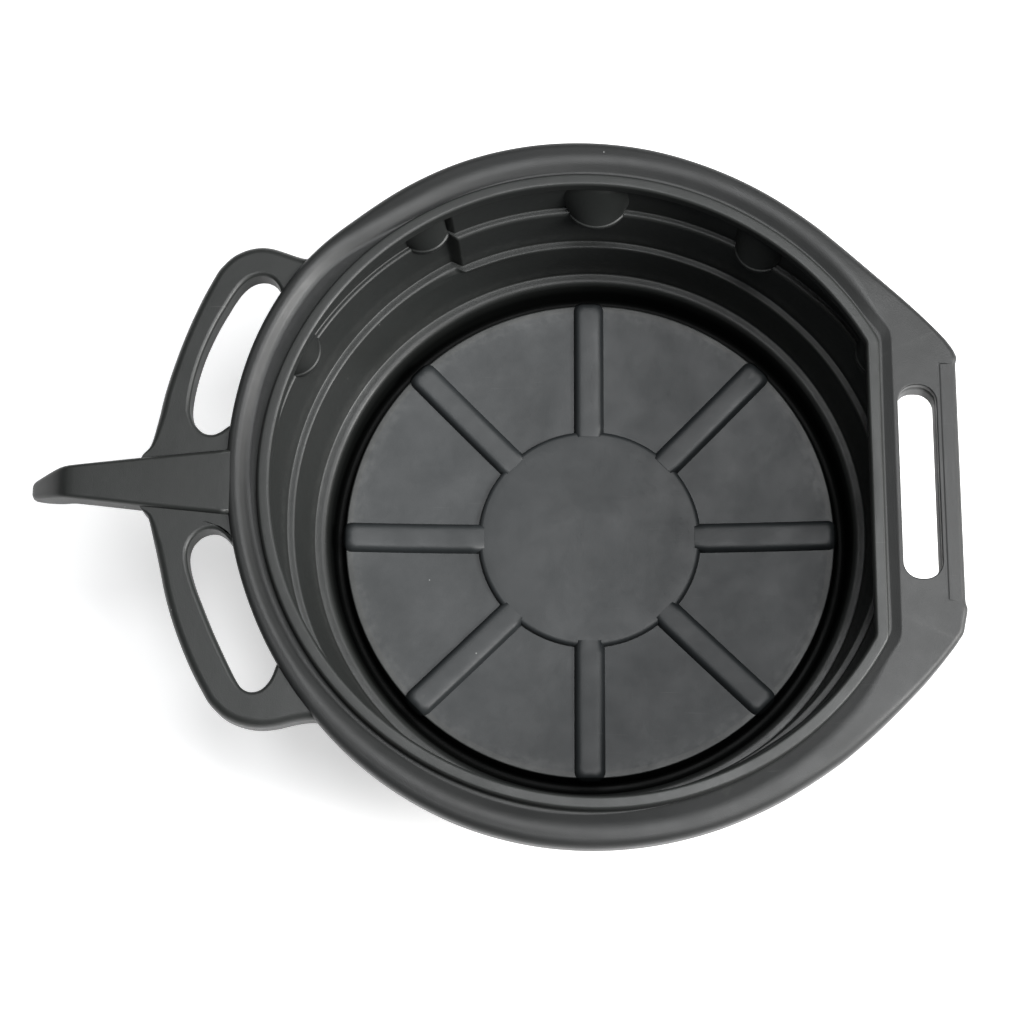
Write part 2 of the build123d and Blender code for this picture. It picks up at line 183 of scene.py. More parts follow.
def mix(a, b, t):
    return a + (b - a) * t


def profile(ctrl, segs):
    """Rows of (r, z) for every column from control points with rounded corners.
    segs[k] lists the fractions of the straight after corner k at which rows are added."""
    n = len(ctrl)
    P = [np.stack([np.broadcast_to(np.asarray(c[0], float), NC), np.broadcast_to(np.asarray(c[1], float), NC)], -1) for c in ctrl]
    tin, tout, w = list(P), list(P), [None] * n
    for k in range(1, n - 1):
        f = ctrl[k][2]
        if np.all(np.asarray(f) == 0):
            continue
        a, b = P[k - 1] - P[k], P[k + 1] - P[k]
        la, lb = np.linalg.norm(a, axis=1), np.linalg.norm(b, axis=1)
        ua, ub = a / la[:, None], b / lb[:, None]
        alpha = np.arccos(np.clip((ua * ub).sum(1), -0.999999, 0.9999))
        d = np.minimum(f / np.tan(alpha / 2), 0.46 * np.minimum(la, lb))
        tin[k], tout[k], w[k] = P[k] + ua * d[:, None], P[k] + ub * d[:, None], np.sin(alpha / 2)
    rows, first, last = [], {}, {}
    for k in range(n):
        first[k] = len(rows)
        if w[k] is None:
            rows.append(P[k])
        else:
            m = ctrl[k][3]
            for i in range(m):
                t = i / (m - 1)
                ww = w[k][:, None]
                den = (1 - t) ** 2 + 2 * ww * t * (1 - t) + t * t
                rows.append(((1 - t) ** 2 * tin[k] + 2 * ww * t * (1 - t) * P[k] + t * t * tout[k]) / den)
        last[k] = len(rows) - 1
        if k < n - 1:
            for fr in segs[k]:
                rows.append(tout[k] + (tin[k + 1] - tout[k]) * fr)
    R = np.array(rows)
    return np.stack([R[..., 0] * COS, R[..., 0] * SIN, R[..., 1]], -1), first, last


flat_in = chord(185.6)
flat_out = chord(188.6)


def low_main(f):
    return mix(180.5, np.minimum(L2_IN, flat_in - 0.4), f)


def low_hand(f):
    return mix(180.5, H2_IN, f)


near = sstep(AB, 26.0, 44.0)            # 0 at the grip, 1 round the rest
handle = sstep(AB, 128.0, 150.0)        # 1 on the handle side
right_low = np.interp(TH, [0, 30, 262, 292, 330, 360], [0, 0, 0, 1, 1, 0])
z_crest = mix(148.1, 150.6, near) - 1.2 * right_low * near
z_edge = mix(mix(147.6, 148.6, near), 149.8, handle)
groove_run = mix(mix(4.6, 5.2, near), 4.2, handle) + 1.4 * right_low * near
r_crest = R_C + mix(2.0, 2.6, near) - 1.2 * handle + 2.6 * right_low * near
crest_f = mix(mix(3.2, 16.0, near), 5.0, handle)
edge_f = mix(mix(3.8, 6.0, near), 4.6, handle)
z_skirt = mix(126.2, 134.0, sstep(AB, 31.0, 35.0))

LIP_Z = 152.0
top_ctrl = [
    (3.0, floor_z(3.0), 0, 1),
    (R_PLATEAU + 0.3, Z_PLATEAU, 1.3, 4),
    (163.2, 3.0, 2.2, 5),
    (169.0, 3.0, 3.4, 6),
    (173.0, 27.0, 7.0, 10),
    (180.5, 27.0, 1.2, 4),
    (mix(low_main(0.84), low_hand(0.84), B_WIDE), mix(27.0, 68.0, 0.84), 6.0, 3),
    (mix(low_main(0.93), low_hand(0.93), mix(B_WIDE, B_MID, 0.6)), mix(27.0, 68.0, 0.93), 2.0, 3),
    (np.minimum(mix(L2_IN, H2_IN, B_STEP), flat_in - 0.4), 68.0, 3.4, 8),
    (smin(mix(L2_OUT, H2_OUT, B_STEP), flat_in, 0.6), 68.0, 0.9, 3),
    (smin(mix(L3_IN, H3_IN, B_STEP), flat_in + 0.3, 0.6), 112.0, 3.0, 7),
    (smin(mix(L3_OUT, H3_OUT, B_STEP), flat_in + 0.6, 0.6), 112.0, 0.9, 3),
    (smin(mix(np.maximum(L3_OUT + 1.6, 196.4), H3_OUT + 1.2, B_STEP), flat_in + 0.7, 0.6), 143.0, 0.5, 3),
    (R_LI + 0.2, 143.0, 0.8, 3),
    (R_LI, LIP_Z, 2.0, 6),
    (R_LO, LIP_Z, 1.7, 5),
    (R_LO + 0.4, 146.0, 1.1, 4),
    (R_C - groove_run, 145.6, 5.0, 6),
    (r_crest, z_crest, crest_f, 8),
    (R_O, z_edge, edge_f, 8),
    (R_O, z_skirt, 1.2, 4),
    (R_O - 1.5, z_skirt, 0, 1),
]
even = lambda n: [(i + 1) / (n + 1) for i in range(n)]
r0, r1 = 3.0, R_PLATEAU - 1.8
top_segs = [[(r - r0) / (r1 - r0) for r in (20, 40, 60, 80, 95, 110, 125, 140, 150, 156)], even(1), even(1), even(2), even(2), [0.1] + even(5), even(1), even(1), even(1), [0.16] + even(6), even(1), [0.2, 0.4, 0.6, 0.8, 0.92], even(1), even(2), even(2), [0.5], [0.5], even(1), even(4), even(3), [], []]
top_segs[5] = [0.1, 0.3, 0.5, 0.7, 0.88]
top_segs[9] = [0.16, 0.3, 0.44, 0.58, 0.72, 0.86]
TOP, tf, tl = profile(top_ctrl, top_segs)
# the floor rows follow the dish
for i in range(tl[0], tf[1] + 1):
    r = np.linalg.norm(TOP[i, :, :2], axis=1)
    TOP[i, :, 2] = np.where(r < 159.6, floor_z(r), TOP[i, :, 2])

low_ctrl = [
    (3.0, 5.0, 0, 1),
    (158.0, 14.0, 1.0, 3),
    (159.4, 0.0, 1.4, 4),
    (171.8, 0.0, 1.4, 4),
    (176.6, 24.0, 1.5, 4),
    (183.5, 24.0, 2.2, 4),
    (mix(low_main(0.84), low_hand(0.84), B_WIDE) + 3.0, mix(24.0, 65.0, 0.84), 6.0, 3),
    (mix(low_main(0.93), low_hand(0.93), mix(B_WIDE, B_MID, 0.6)) + 3.0, mix(24.0, 65.0, 0.93), 2.0, 3),
    (np.minimum(mix(L2_IN, H2_IN, B_STEP) + 3.0, flat_out - 0.4), 65.0, 0.8, 3),
    (smin(mix(L2_OUT, H2_OUT, B_STEP) + 3.0, flat_out, 0.6), 65.0, 2.2, 4),
    (smin(mix(L3_IN, H3_IN, B_STEP) + 3.0, flat_out + 0.2, 0.6), 109.0, 0.8, 3),
    (smin(mix(L3_OUT, H3_OUT, B_STEP) + 3.0, flat_out + 0.4, 0.6), 109.0, 2.2, 4),
    (smin(mix(np.maximum(L3_OUT + 1.6, 196.4), H3_OUT + 1.2, B_STEP) + 3.1, flat_out + 0.5, 0.6), 143.0, 0.7, 3),
    (R_O - 3.0, 143.0, 2.0, 4),
    (R_O - 3.0, z_skirt, 1.2, 3),
    (R_O - 1.5, z_skirt, 0, 1),
]
low_segs = [[(r - r0) / (157 - r0) for r in (30, 60, 90, 120, 140, 153)], even(1), even(1), even(1), even(1), [0.12, 0.35, 0.6, 0.85], [], [], even(1), [0.2, 0.45, 0.7], even(1), [0.4, 0.92], even(3), even(1), [], []]
LOW, lf, ll = profile(low_ctrl, low_segs)
for i in range(ll[0], lf[1] + 1):
    r = np.linalg.norm(LOW[i, :, :2], axis=1)
    zz = 5.0 + 9.0 * (r / 158.0) ** 2
    LOW[i, :, 2] = np.where(r < 156.9, zz, LOW[i, :, 2])


def grid_normals(G):
    """Area-weighted vertex normals of a grid closed round its columns."""
    nxt = np.roll(G, -1, axis=1)
    a, b, c, d = G[:-1], nxt[:-1], nxt[1:], G[1:]
    fn = np.cross(c - a, d - b)
    N = np.zeros_like(G)
    N[:-1] += fn
    N[1:] += fn
    prev = np.roll(fn, 1, axis=1)
    N[:-1] += prev
    N[1:] += prev
    return N


NT, NL = grid_normals(TOP), -grid_normals(LOW)
if NT[2, :, 2].mean() < 0:
    NT = -NT
if NL[2, :, 2].mean() > 0:
    NL = -NL
NT[-1] += NL[-1]
NL[-1] = NT[-1]
NT /= np.maximum(np.linalg.norm(NT, axis=2, keepdims=True), 1e-12)
NL /= np.maximum(np.linalg.norm(NL, axis=2, keepdims=True), 1e-12)

# ---------------------------------------------------------------- mesh writing
PIECES = {}


def area_vector(pts):
    n = np.roll(pts, -1, axis=0)
    return np.array([(pts[:, 1] * n[:, 2] - pts[:, 2] * n[:, 1]).sum(), (pts[:, 2] * n[:, 0] - pts[:, 0] * n[:, 2]).sum(), (pts[:, 0] * n[:, 1] - pts[:, 1] * n[:, 0]).sum()])


class Piece:
    """Collects faces with one normal per corner and writes one closed mesh."""

    def __init__(self, name):
        self.name, self.quads, self.faces, self.normals = name, [], [], []

    def face(self, pts, nrm, facing):
        pts, nrm = np.asarray(pts, float), np.asarray(nrm, float)
        if area_vector(pts) @ np.asarray(facing, float) < 0:
            pts, nrm = pts[::-1], nrm[::-1]
        self.faces.append(pts)
        self.normals.append(nrm)

    def flat(self, pts, facing):
        pts = np.asarray(pts, float)
        g = area_vector(pts)
        n = g / max(np.linalg.norm(g), 1e-12)
        if n @ np.asarray(facing, float) < 0:
            n, pts = -n, pts[::-1]
        self.faces.append(pts)
        self.normals.append(np.tile(n, (len(pts), 1)))

    def patch(self, A, B, C, D, NA, NB, NC, ND, facing=None):
        """Many quads at once; facing is one direction per quad."""
        Q, N = np.stack([A, B, C, D], 1), np.stack([NA, NB, NC, ND], 1)
        if facing is not None:
            g = np.cross(C - A, D - B)
            flip = (g * facing).sum(1) < 0
            Q[flip], N[flip] = Q[flip][:, ::-1], N[flip][:, ::-1]
        self.quads.append((Q, N))

    def sheet(self, P, N, columns):
        """Quads between consecutive rows, over consecutive (i, j) column pairs."""
        c, d = np.array(columns).T
        sh = (-1, 3)
        A, B, C, D = P[:-1][:, c].reshape(sh), P[:-1][:, d].reshape(sh), P[1:][:, d].reshape(sh), P[1:][:, c].reshape(sh)
        NA, NB, NC_, ND = N[:-1][:, c].reshape(sh), N[:-1][:, d].reshape(sh), N[1:][:, d].reshape(sh), N[1:][:, c].reshape(sh)
        self.patch(A, B, C, D, NA, NB, NC_, ND, NA + NC_)

    def write(self, material, slot="black_polyethylene", smooth_all=False):
        sizes, pts, nrm = [], [], []
        for Q, N in self.quads:
            sizes += [4] * len(Q)
            pts.append(Q.reshape(-1, 3))
            nrm.append(N.reshape(-1, 3))
        for Q, N in zip(self.faces, self.normals):
            sizes.append(len(Q))
            pts.append(np.asarray(Q, float))
            nrm.append(np.asarray(N, float))
        pts, nrm = np.vstack(pts), np.vstack(nrm)
        key = np.round(pts * 1e4).astype(np.int64) + 10 ** 7
        key = (key[:, 0] * 3 * 10 ** 7 + key[:, 1]) * 3 * 10 ** 7 % (2 ** 62) + key[:, 2] + key[:, 0] * 7
        _, first, inv = np.unique(key, return_index=True, return_inverse=True)
        inv = inv.reshape(-1)
        verts = pts[first]
        ids_all = inv.tolist()
        faces, pick, at = [], [], 0
        for n in sizes:
            ids = ids_all[at:at + n]
            if len(set(ids)) == n:
                faces.append(ids)
                pick.extend(range(at, at + n))
            else:
                kept = [k for k in range(n) if ids[k] != ids[k - 1]]
                if len(kept) >= 3 and len({ids[k] for k in kept}) == len(kept):
                    faces.append([ids[k] for k in kept])
                    pick.extend(at + k for k in kept)
            at += n
        nrm = nrm[pick]
        me = bpy.data.meshes.new(self.name)
        me.from_pydata((verts * MM).tolist(), [], faces)
        me.polygons.foreach_set("use_smooth", [True] * len(me.polygons))
        me.update()
        if smooth_all:
            acc = np.zeros_like(verts)
            for ids in faces:
                acc[ids] += area_vector(verts[ids])
            acc /= np.maximum(np.linalg.norm(acc, axis=1, keepdims=True), 1e-12)
            nrm = acc[inv[pick]]
        me.normals_split_custom_set(nrm.tolist())
        me.materials.append(material)
        ob = bpy.data.objects.new(self.name + "_skin", me)
        bpy.context.scene.collection.objects.link(ob)
        use = {}
        for ids in faces:
            for a in range(len(ids)):
                k = (min(ids[a - 1], ids[a]), max(ids[a - 1], ids[a]))
                use[k] = use.get(k, 0) + 1
        print("PIECE", self.name, len(verts), len(faces), "open edges", sum(1 for v in use.values() if v != 2))
        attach(ob, "root")
        PIECES[self.name] = ob
        return ob


# -------------------------------------------------------------------- material
def make_material(name, grain=1.0, tint=(0.0165, 0.0178, 0.0164), rough=0.42):
    m = bpy.data.materials.new(name)
    m.use_nodes = True
    nt = m.node_tree
    nodes, links = nt.nodes, nt.links
    nodes.clear()

    def node(kind, **kw):
        n = nodes.new(kind)
        for k, v in kw.items():
            setattr(n, k, v)
        return n

    out = node("ShaderNodeOutputMaterial")
    bs = node("ShaderNodeBsdfPrincipled")
    links.new(bs.outputs[0], out.inputs[0])
    co = node("ShaderNodeTexCoord")
    geo = node("ShaderNodeNewGeometry")

    def noise(scale, detail=3.0, rough_=0.55, dist=0.0):
        n = node("ShaderNodeTexNoise")
        n.inputs["Scale"].default_value = scale
        n.inputs["Detail"].default_value = detail
        n.inputs["Roughness"].default_value = rough_
        n.inputs["Distortion"].default_value = dist
        links.new(co.outputs["Object"], n.inputs["Vector"])
        return n.outputs["Fac"]

    def ramp(src, a, b, lo=0.0, hi=1.0):
        n = node("ShaderNodeMapRange")
        n.inputs["From Min"].default_value = a
        n.inputs["From Max"].default_value = b
        n.inputs["To Min"].default_value = lo
        n.inputs["To Max"].default_value = hi
        n.clamp = True
        links.new(src, n.inputs["Value"])
        return n.outputs["Result"]

    def math_(op, a, b):
        n = node("ShaderNodeMath", operation=op)
        for i, v in enumerate((a, b)):
            if isinstance(v, (int, float)):
                n.inputs[i].default_value = v
            else:
                links.new(v, n.inputs[i])
        return n.outputs[0]

    def mixc(fac, a, b, blend="MIX"):
        n = node("ShaderNodeMix", data_type="RGBA", blend_type=blend)
        if isinstance(fac, (int, float)):
            n.inputs["Factor"].default_value = fac
        else:
            links.new(fac, n.inputs["Factor"])
        for sock, v in (("A", a), ("B", b)):
            s = [i for i in n.inputs if i.name == sock and i.type == "RGBA"][0]
            if isinstance(v, tuple):
                s.default_value = (*v, 1.0) if len(v) == 3 else v
            else:
                links.new(v, s)
        return [o for o in n.outputs if o.type == "RGBA"][0]

    broad = ramp(noise(9.0, 4.0, 0.6, 0.4), 0.30, 0.74, 0.25, 0.75)
    mottle = ramp(noise(55.0, 5.0, 0.62), 0.36, 0.66)
    fine = noise(1500.0, 2.0, 0.6)
    base = mixc(broad, tuple(c * 0.86 for c in tint), tuple(c * 1.16 for c in (tint[0] * 0.98, tint[1], tint[2] * 1.06)))
    base = mixc(math_("MULTIPLY", mottle, 0.12), base, tuple(c * 1.5 for c in tint))
    # convex edges are rubbed a little paler and smoother
    edge = ramp(geo.outputs["Pointiness"], 0.515, 0.56)
    rub = math_("MULTIPLY", edge, ramp(noise(130.0, 4.0, 0.7), 0.42, 0.62, 0.15, 1.0))
    base = mixc(math_("MULTIPLY", rub, 0.12), base, (0.085, 0.087, 0.082))
    # settled dust: tiny pale specks here and there
    vor = node("ShaderNodeTexVoronoi", feature="F1")
    vor.inputs["Scale"].default_value = 95.0
    links.new(co.outputs["Object"], vor.inputs["Vector"])
    speck = ramp(vor.outputs["Distance"], 0.035, 0.055, 1.0, 0.0)
    sep = node("ShaderNodeSeparateColor")
    links.new(vor.outputs["Color"], sep.inputs[0])
    rare = ramp(sep.outputs[0], 0.955, 0.96)
    speck = math_("MULTIPLY", speck, rare)
    base = mixc(math_("MULTIPLY", speck, 0.55), base, (0.42, 0.43, 0.42))
    # faint drag marks
    mp = node("ShaderNodeMapping")
    mp.inputs["Scale"].default_value = (26.0, 480.0, 30.0)
    mp.inputs["Rotation"].default_value = (0.0, 0.0, 0.7)
    links.new(co.outputs["Object"], mp.inputs["Vector"])
    sc = node("ShaderNodeTexNoise")
    sc.inputs["Scale"].default_value = 1.0
    sc.inputs["Detail"].default_value = 2.0
    links.new(mp.outputs[0], sc.inputs["Vector"])
    scratch = math_("MULTIPLY", ramp(sc.outputs["Fac"], 0.70, 0.76), ramp(noise(22.0, 2.0), 0.52, 0.66))
    base = mixc(math_("MULTIPLY", scratch, 0.25), base, (0.09, 0.092, 0.09))
    # painted shade: the narrow channel round the floor is painted nearly black, darkest at its bottom, with lowered
    # specular, standing for the shadow that falls in it
    px = node("ShaderNodeSeparateXYZ")
    links.new(co.outputs["Object"], px.inputs[0])
    rad = math_("SQRT", math_("ADD", math_("MULTIPLY", px.outputs[0], px.outputs[0]), math_("MULTIPLY", px.outputs[1], px.outputs[1])), 0.0)
    channel_shade = math_("MULTIPLY", ramp(rad, 0.1607, 0.1612), ramp(rad, 0.1708, 0.1775, 1.0, 0.0))
    channel_shade = math_("MULTIPLY", channel_shade, ramp(px.outputs[2], 0.0160, 0.0272, 1.0, 0.42))
    base = mixc(math_("MULTIPLY", channel_shade, 0.92), base, (0.0018, 0.0020, 0.0019))
    # the lowered specular in the channel is part of the painted shade
    links.new(math_("SUBTRACT", 0.5, math_("MULTIPLY", channel_shade, 0.44)), bs.inputs["Specular IOR Level"])
    links.new(base, bs.inputs["Base Color"])
    r = ramp(noise(30.0, 5.0, 0.65), 0.3, 0.7, rough - 0.05, rough + 0.07)
    r = math_("ADD", r, math_("MULTIPLY", fine, 0.06))
    r = math_("SUBTRACT", r, math_("MULTIPLY", rub, 0.05))
    links.new(r, bs.inputs["Roughness"])
    bs.inputs["IOR"].default_value = 1.51
    b1 = node("ShaderNodeBump")
    b1.inputs["Strength"].default_value = 0.30 * grain
    b1.inputs["Distance"].default_value = 0.00022
    links.new(fine, b1.inputs["Height"])
    b2 = node("ShaderNodeBump")
    b2.inputs["Strength"].default_value = 0.18
    b2.inputs["Distance"].default_value = 0.0009
    links.new(noise(70.0, 3.0, 0.5), b2.inputs["Height"])
    links.new(b1.outputs[0], b2.inputs["Normal"])
    links.new(b2.outputs[0], bs.inputs["Normal"])
    return m


# painted light: the floor and rim copies of the one black plastic get their own tints, the rim copy lighter where the
# flange catches more light and the floor copy cooler for the cool light on it
BLACK = make_material("black_polyethylene")
BLACK_FLOOR = make_material("black_polyethylene_floor", grain=0.6, tint=(0.0162, 0.0186, 0.0192), rough=0.46)
BLACK_RIM = make_material("black_polyethylene_rim", grain=1.6, tint=(0.0185, 0.0191, 0.0184), rough=0.45)

# ----------------------------------------------------------------- swept pieces
ALL = [(c, (c + 1) % NC) for c in range(NC)]


def span(a, b):
    """Column pairs from angle a up to angle b."""
    i, j = col(a), col(b)
    out = []
    while i != j:
        out.append((i, (i + 1) % NC))
        i = (i + 1) % NC
    return out


def slab(name, t0, t1, l0, l1, parts, material, pole=False):
    """A closed piece between top rows t0..t1 and underside rows l0..l1.
    parts is None for a whole turn, or a list of column spans."""
    p = Piece(name)
    for pairs in ([ALL] if parts is None else parts):
        p.sheet(TOP[t0:t1 + 1], NT[t0:t1 + 1], pairs)
        p.sheet(LOW[l0:l1 + 1], NL[l0:l1 + 1], pairs)
        for ti, li, out in ((t0, l0, -1), (t1, l1, 1)):
            if pole and out < 0:
                for G, N, i, s in ((TOP, NT, t0, 1), (LOW, NL, l0, -1)):
                    mid = np.array([0, 0, G[i, 0, 2]])
                    for c, d in pairs:
                        p.face([mid, G[i, c], G[i, d]], [np.array([0, 0, s])] * 3, facing=(0, 0, s))
                continue
            if np.allclose(TOP[ti], LOW[li], atol=1e-6):
                continue
            for c, d in pairs:
                mid = TOP[ti, c] + TOP[ti, d]
                nxt = TOP[ti - 1, c] if out > 0 else TOP[ti + 1, c]
                p.flat([TOP[ti, c], TOP[ti, d], LOW[li, d], LOW[li, c]], facing=TOP[ti, c] - nxt)
        if parts is not None:
            for c, sgn in ((pairs[0][0], -1), (pairs[-1][1], 1)):
                poly = [TOP[i, c] for i in range(t0, t1 + 1)] + [LOW[i, c] for i in range(l1, l0 - 1, -1)]
                p.flat(poly, facing=np.array([-SIN[c], COS[c], 0]) * sgn)
    return p.write(material)


tc = {"floor": tl[0] + 10, "ledge": tl[4] + 2, "low": tl[5] + 1, "up": tl[9] + 1, "lip": tl[11] + 5, "groove": tl[16] + 1}
lc = {"floor": ll[0] + 6, "ledge": ll[4] + 1, "low": ll[5] + 1, "up": ll[9] + 1, "lip": ll[11] + 2, "groove": ll[12]}
MAIN = [span(242.4, 117.6)]
HAND = [span(117.6, 242.4)]
slab("floor_panel", 0, tc["floor"], 0, lc["floor"], None, BLACK_FLOOR, pole=True)
slab("foot_ring", tc["floor"], tc["ledge"], lc["floor"], lc["ledge"], None, BLACK)
slab("first_ledge", tc["ledge"], tc["low"], lc["ledge"], lc["low"], None, BLACK)
slab("lower_wall", tc["low"], tc["up"], lc["low"], lc["up"], [span(244.4, 115.6)], BLACK)
slab("lower_bulge_wall", tc["low"], tc["up"], lc["low"], lc["up"], [span(115.6, 244.4)], BLACK)
slab("upper_wall", tc["up"], tc["lip"], lc["up"], lc["lip"], [span(244.4, 115.6)], BLACK)
slab("upper_bulge_wall", tc["up"], tc["lip"], lc["up"], lc["lip"], HAND, BLACK)
slab("wall_steps", tc["up"], tc["lip"], lc["up"], lc["lip"], [span(115.6, 117.6), span(242.4, 244.4)], BLACK)
slab("splash_lip", tc["lip"], tc["groove"], lc["lip"], lc["groove"], None, BLACK)
slab("rim_flange", tc["groove"], len(TOP) - 1, lc["groove"], len(LOW) - 1, [span(THG, 360 - THG)], BLACK_RIM)

# ------------------------------------------------------------------------ grip
GP = span(360 - THG, THG)
g_cols = [GP[0][0]] + [d for c, d in GP]
ra, rb = tl[18], tf[19]                 # flat of the flange, between crest and edge
la, lb = lc["groove"], lf[13]


def rounded_slot(off, n_corner=10, n_side=30, n_end=6):
    """Slot outline grown by off, anticlockwise."""
    x0, x1, y, r = SLOT_X0 - off, SLOT_X1 + off, SLOT_HALF + off, SLOT_R + off
    pts = []
    for cx, cy, a0 in ((x1 - r, y - r, 0), (x0 + r, y - r, 90), (x0 + r, -y + r, 180), (x1 - r, -y + r, 270)):
        for k in range(n_corner):
            a = math.radians(a0 + 90 * k / (n_corner - 1))
            pts.append((cx + r * math.cos(a), cy + r * math.sin(a)))
    P = np.array(pts)
    out = []
    for i in range(len(P)):
        out.append(P[i])
        q = P[(i + 1) % len(P)]
        d = np.linalg.norm(q - P[i])
        m = int(d // 4)
        if i % n_corner == n_corner - 1:
            m = n_side if abs(q[0] - P[i][0]) < 1 else 0
            for k in range(m):
                out.append(P[i] + (q - P[i]) * (k + 1) / (m + 1))
    return np.array(out)


ia, ib = np.array([TOP[ra, c] for c in g_cols]), np.array([TOP[rb, c] for c in g_cols])
ang = np.degrees(np.arctan2(ia[:, 1], ia[:, 0]))
Ra, Rb, Za, Zb = np.linalg.norm(ia[:, :2], axis=1), np.linalg.norm(ib[:, :2], axis=1), ia[:, 2], ib[:, 2]


def grip_top(x, y):
    """Height of the grip's top face: a gentle fall to the edge, and a raised strip beside it."""
    t = np.degrees(np.arctan2(y, x))
    a, b = np.interp(t, ang, Ra), np.interp(t, ang, Rb)
    f = np.clip((np.hypot(x, y) - a) / np.maximum(b - a, 1e-6), 0, 1)
    z = mix(np.interp(t, ang, Za), np.interp(t, ang, Zb), f)
    strip = sstep(x, 215.2, 216.5) * (1 - sstep(np.abs(y), 74.0, 75.2)) * (1 - sstep(f, 0.86, 1.0))
    return z + 0.45 * strip


def top_normal(x, y):
    e = 0.15
    gx = (grip_top(x + e, y) - grip_top(x - e, y)) / (2 * e)
    gy = (grip_top(x, y + e) - grip_top(x, y - e)) / (2 * e)
    n = np.array([-gx, -gy, 1.0])
    return n / np.linalg.norm(n)


def inside(poly, q):
    x, y = q
    px, py = poly[:, 0], poly[:, 1]
    qx, qy = np.roll(px, -1), np.roll(py, -1)
    cross = ((py > y) != (qy > y)) & (x < (qx - px) * (y - py) / np.where(qy == py, 1e-12, qy - py) + px)
    return bool(cross.sum() % 2)


def near_poly(poly, pts):
    a, b = poly, np.roll(poly, -1, axis=0)
    ab = b - a
    best = np.full(len(pts), 1e9)
    for i in range(len(a)):
        t = np.clip(((pts - a[i]) @ ab[i]) / max(ab[i] @ ab[i], 1e-9), 0, 1)
        best = np.minimum(best, np.linalg.norm(pts - (a[i] + t[:, None] * ab[i]), axis=1))
    return best


def plate(p, outer, hole, zfun, nfun, facing, step=3.0, lines=()):
    """Triangles over a region with one hole, at a height that follows zfun."""
    O, H = np.array(outer)[:, :2], np.array(hole)[:, :2]
    xs, ys = np.arange(O[:, 0].min(), O[:, 0].max(), step), np.arange(O[:, 1].min(), O[:, 1].max(), step)
    g = np.array([(x + (step / 2 if j % 2 else 0), y) for j, y in enumerate(ys) for x in xs])
    g = g[[inside(O, q) and not inside(H, q) for q in g]]
    g = g[(near_poly(O, g) > 1.3) & (near_poly(H, g) > 1.3)]
    extra = np.array([q for q in lines if inside(O, q) and not inside(H, q)]) if len(lines) else np.zeros((0, 2))
    if len(extra):
        extra = extra[(near_poly(O, extra) > 0.8) & (near_poly(H, extra) > 0.8)]
        far = np.array([np.min(np.linalg.norm(extra - q, axis=1)) > 0.9 for q in g])
        g = np.vstack([g[far], extra])
    pts = np.vstack([O, H, g])
    nO, nH = len(O), len(H)
    edges = [(i, (i + 1) % nO) for i in range(nO)] + [(nO + i, nO + (i + 1) % nH) for i in range(nH)]
    v, e, f, ov, oe, of_ = delaunay_2d_cdt([Vector((float(a), float(b))) for a, b in pts], edges, [], 0, 1e-7)
    zO, zH = np.array(outer)[:, 2], np.array(hole)[:, 2]
    P3, N3 = [], []
    for k, q in enumerate(v):
        src = ov[k][0] if ov[k] else -1
        if 0 <= src < nO:
            P3.append(np.array(outer[src], float))
        elif nO <= src < nO + nH:
            P3.append(np.array(hole[src - nO], float))
        else:
            P3.append(np.array([q.x, q.y, float(zfun(q.x, q.y))]))
        N3.append(nfun(P3[-1][0], P3[-1][1]))
    for tri in f:
        c = np.mean([[v[i].x, v[i].y] for i in tri], axis=0)
        if inside(O, c) and not inside(H, c):
            p.face([P3[i] for i in tri], [N3[i] for i in tri], facing=facing)


grip = Piece("grip_plate")
gn_a = [top_normal(TOP[ra, c, 0], TOP[ra, c, 1]) for c in g_cols]
gn_b = [top_normal(TOP[rb, c, 0], TOP[rb, c, 1]) for c in g_cols]
NG = NT.copy()
for c, n1, n2 in zip(g_cols[1:-1], gn_a[1:-1], gn_b[1:-1]):
    NG[ra, c], NG[rb, c] = n1, n2
grip.sheet(TOP[tc["groove"]:ra + 1], NG[tc["groove"]:ra + 1], GP)
grip.sheet(TOP[rb:], NG[rb:], GP)
grip.sheet(LOW[lb:], NL[lb:], GP)
top_out = [TOP[ra, c] for c in g_cols] + [TOP[i, g_cols[-1]] for i in range(ra + 1, rb)] + [TOP[rb, c] for c in g_cols[::-1]] + [TOP[i, g_cols[0]] for i in range(rb - 1, ra, -1)]
low_out = [LOW[la, c] for c in g_cols] + [LOW[i, g_cols[-1]] for i in range(la + 1, lb)] + [LOW[lb, c] for c in g_cols[::-1]] + [LOW[i, g_cols[0]] for i in range(lb - 1, la, -1)]
EDGE_R = 0.9
loops = []
for k in range(5):
    f = math.pi / 2 * k / 4
    o = rounded_slot(EDGE_R * (1 - math.sin(f)))
    z = np.array([grip_top(x, y) for x, y in o]) - EDGE_R * (1 - math.cos(f))
    loops.append(np.column_stack([o, z]))
z_top_slot = loops[-1][:, 2]
for z in (143.0,):
    loops.append(np.column_stack([rounded_slot(0.0), np.full(len(z_top_slot), z)]))
SN = []
c0 = rounded_slot(0.0)
tan = np.roll(c0, -1, 0) - np.roll(c0, 1, 0)
nn = np.stack([-tan[:, 1], tan[:, 0]], -1)
nn /= np.linalg.norm(nn, axis=1, keepdims=True)      # towards the middle of the slot
for k in range(6):
    f = math.pi / 2 * min(k, 4) / 4
    if k == 0:
        SN.append(np.array([top_normal(x, y) for x, y in loops[0][:, :2]]))
    else:
        SN.append(np.column_stack([nn * math.sin(f), np.full(len(nn), math.cos(f))]))
strip_lines = [(x, y) for x in (215.2, 215.85, 216.5) for y in np.arange(-75, 75.1, 1.5)] + [(x, s * y) for y in (73.9, 74.6, 75.3) for s in (1, -1) for x in np.arange(216.5, 224, 1.5)]
plate(grip, top_out, loops[0], grip_top, top_normal, (0, 0, 1), lines=strip_lines)
low_loop = loops[-1]
plate(grip, low_out, low_loop, lambda x, y: 143.0, lambda x, y: np.array([0, 0, -1.0]), (0, 0, -1), step=5.0)
m = len(c0)
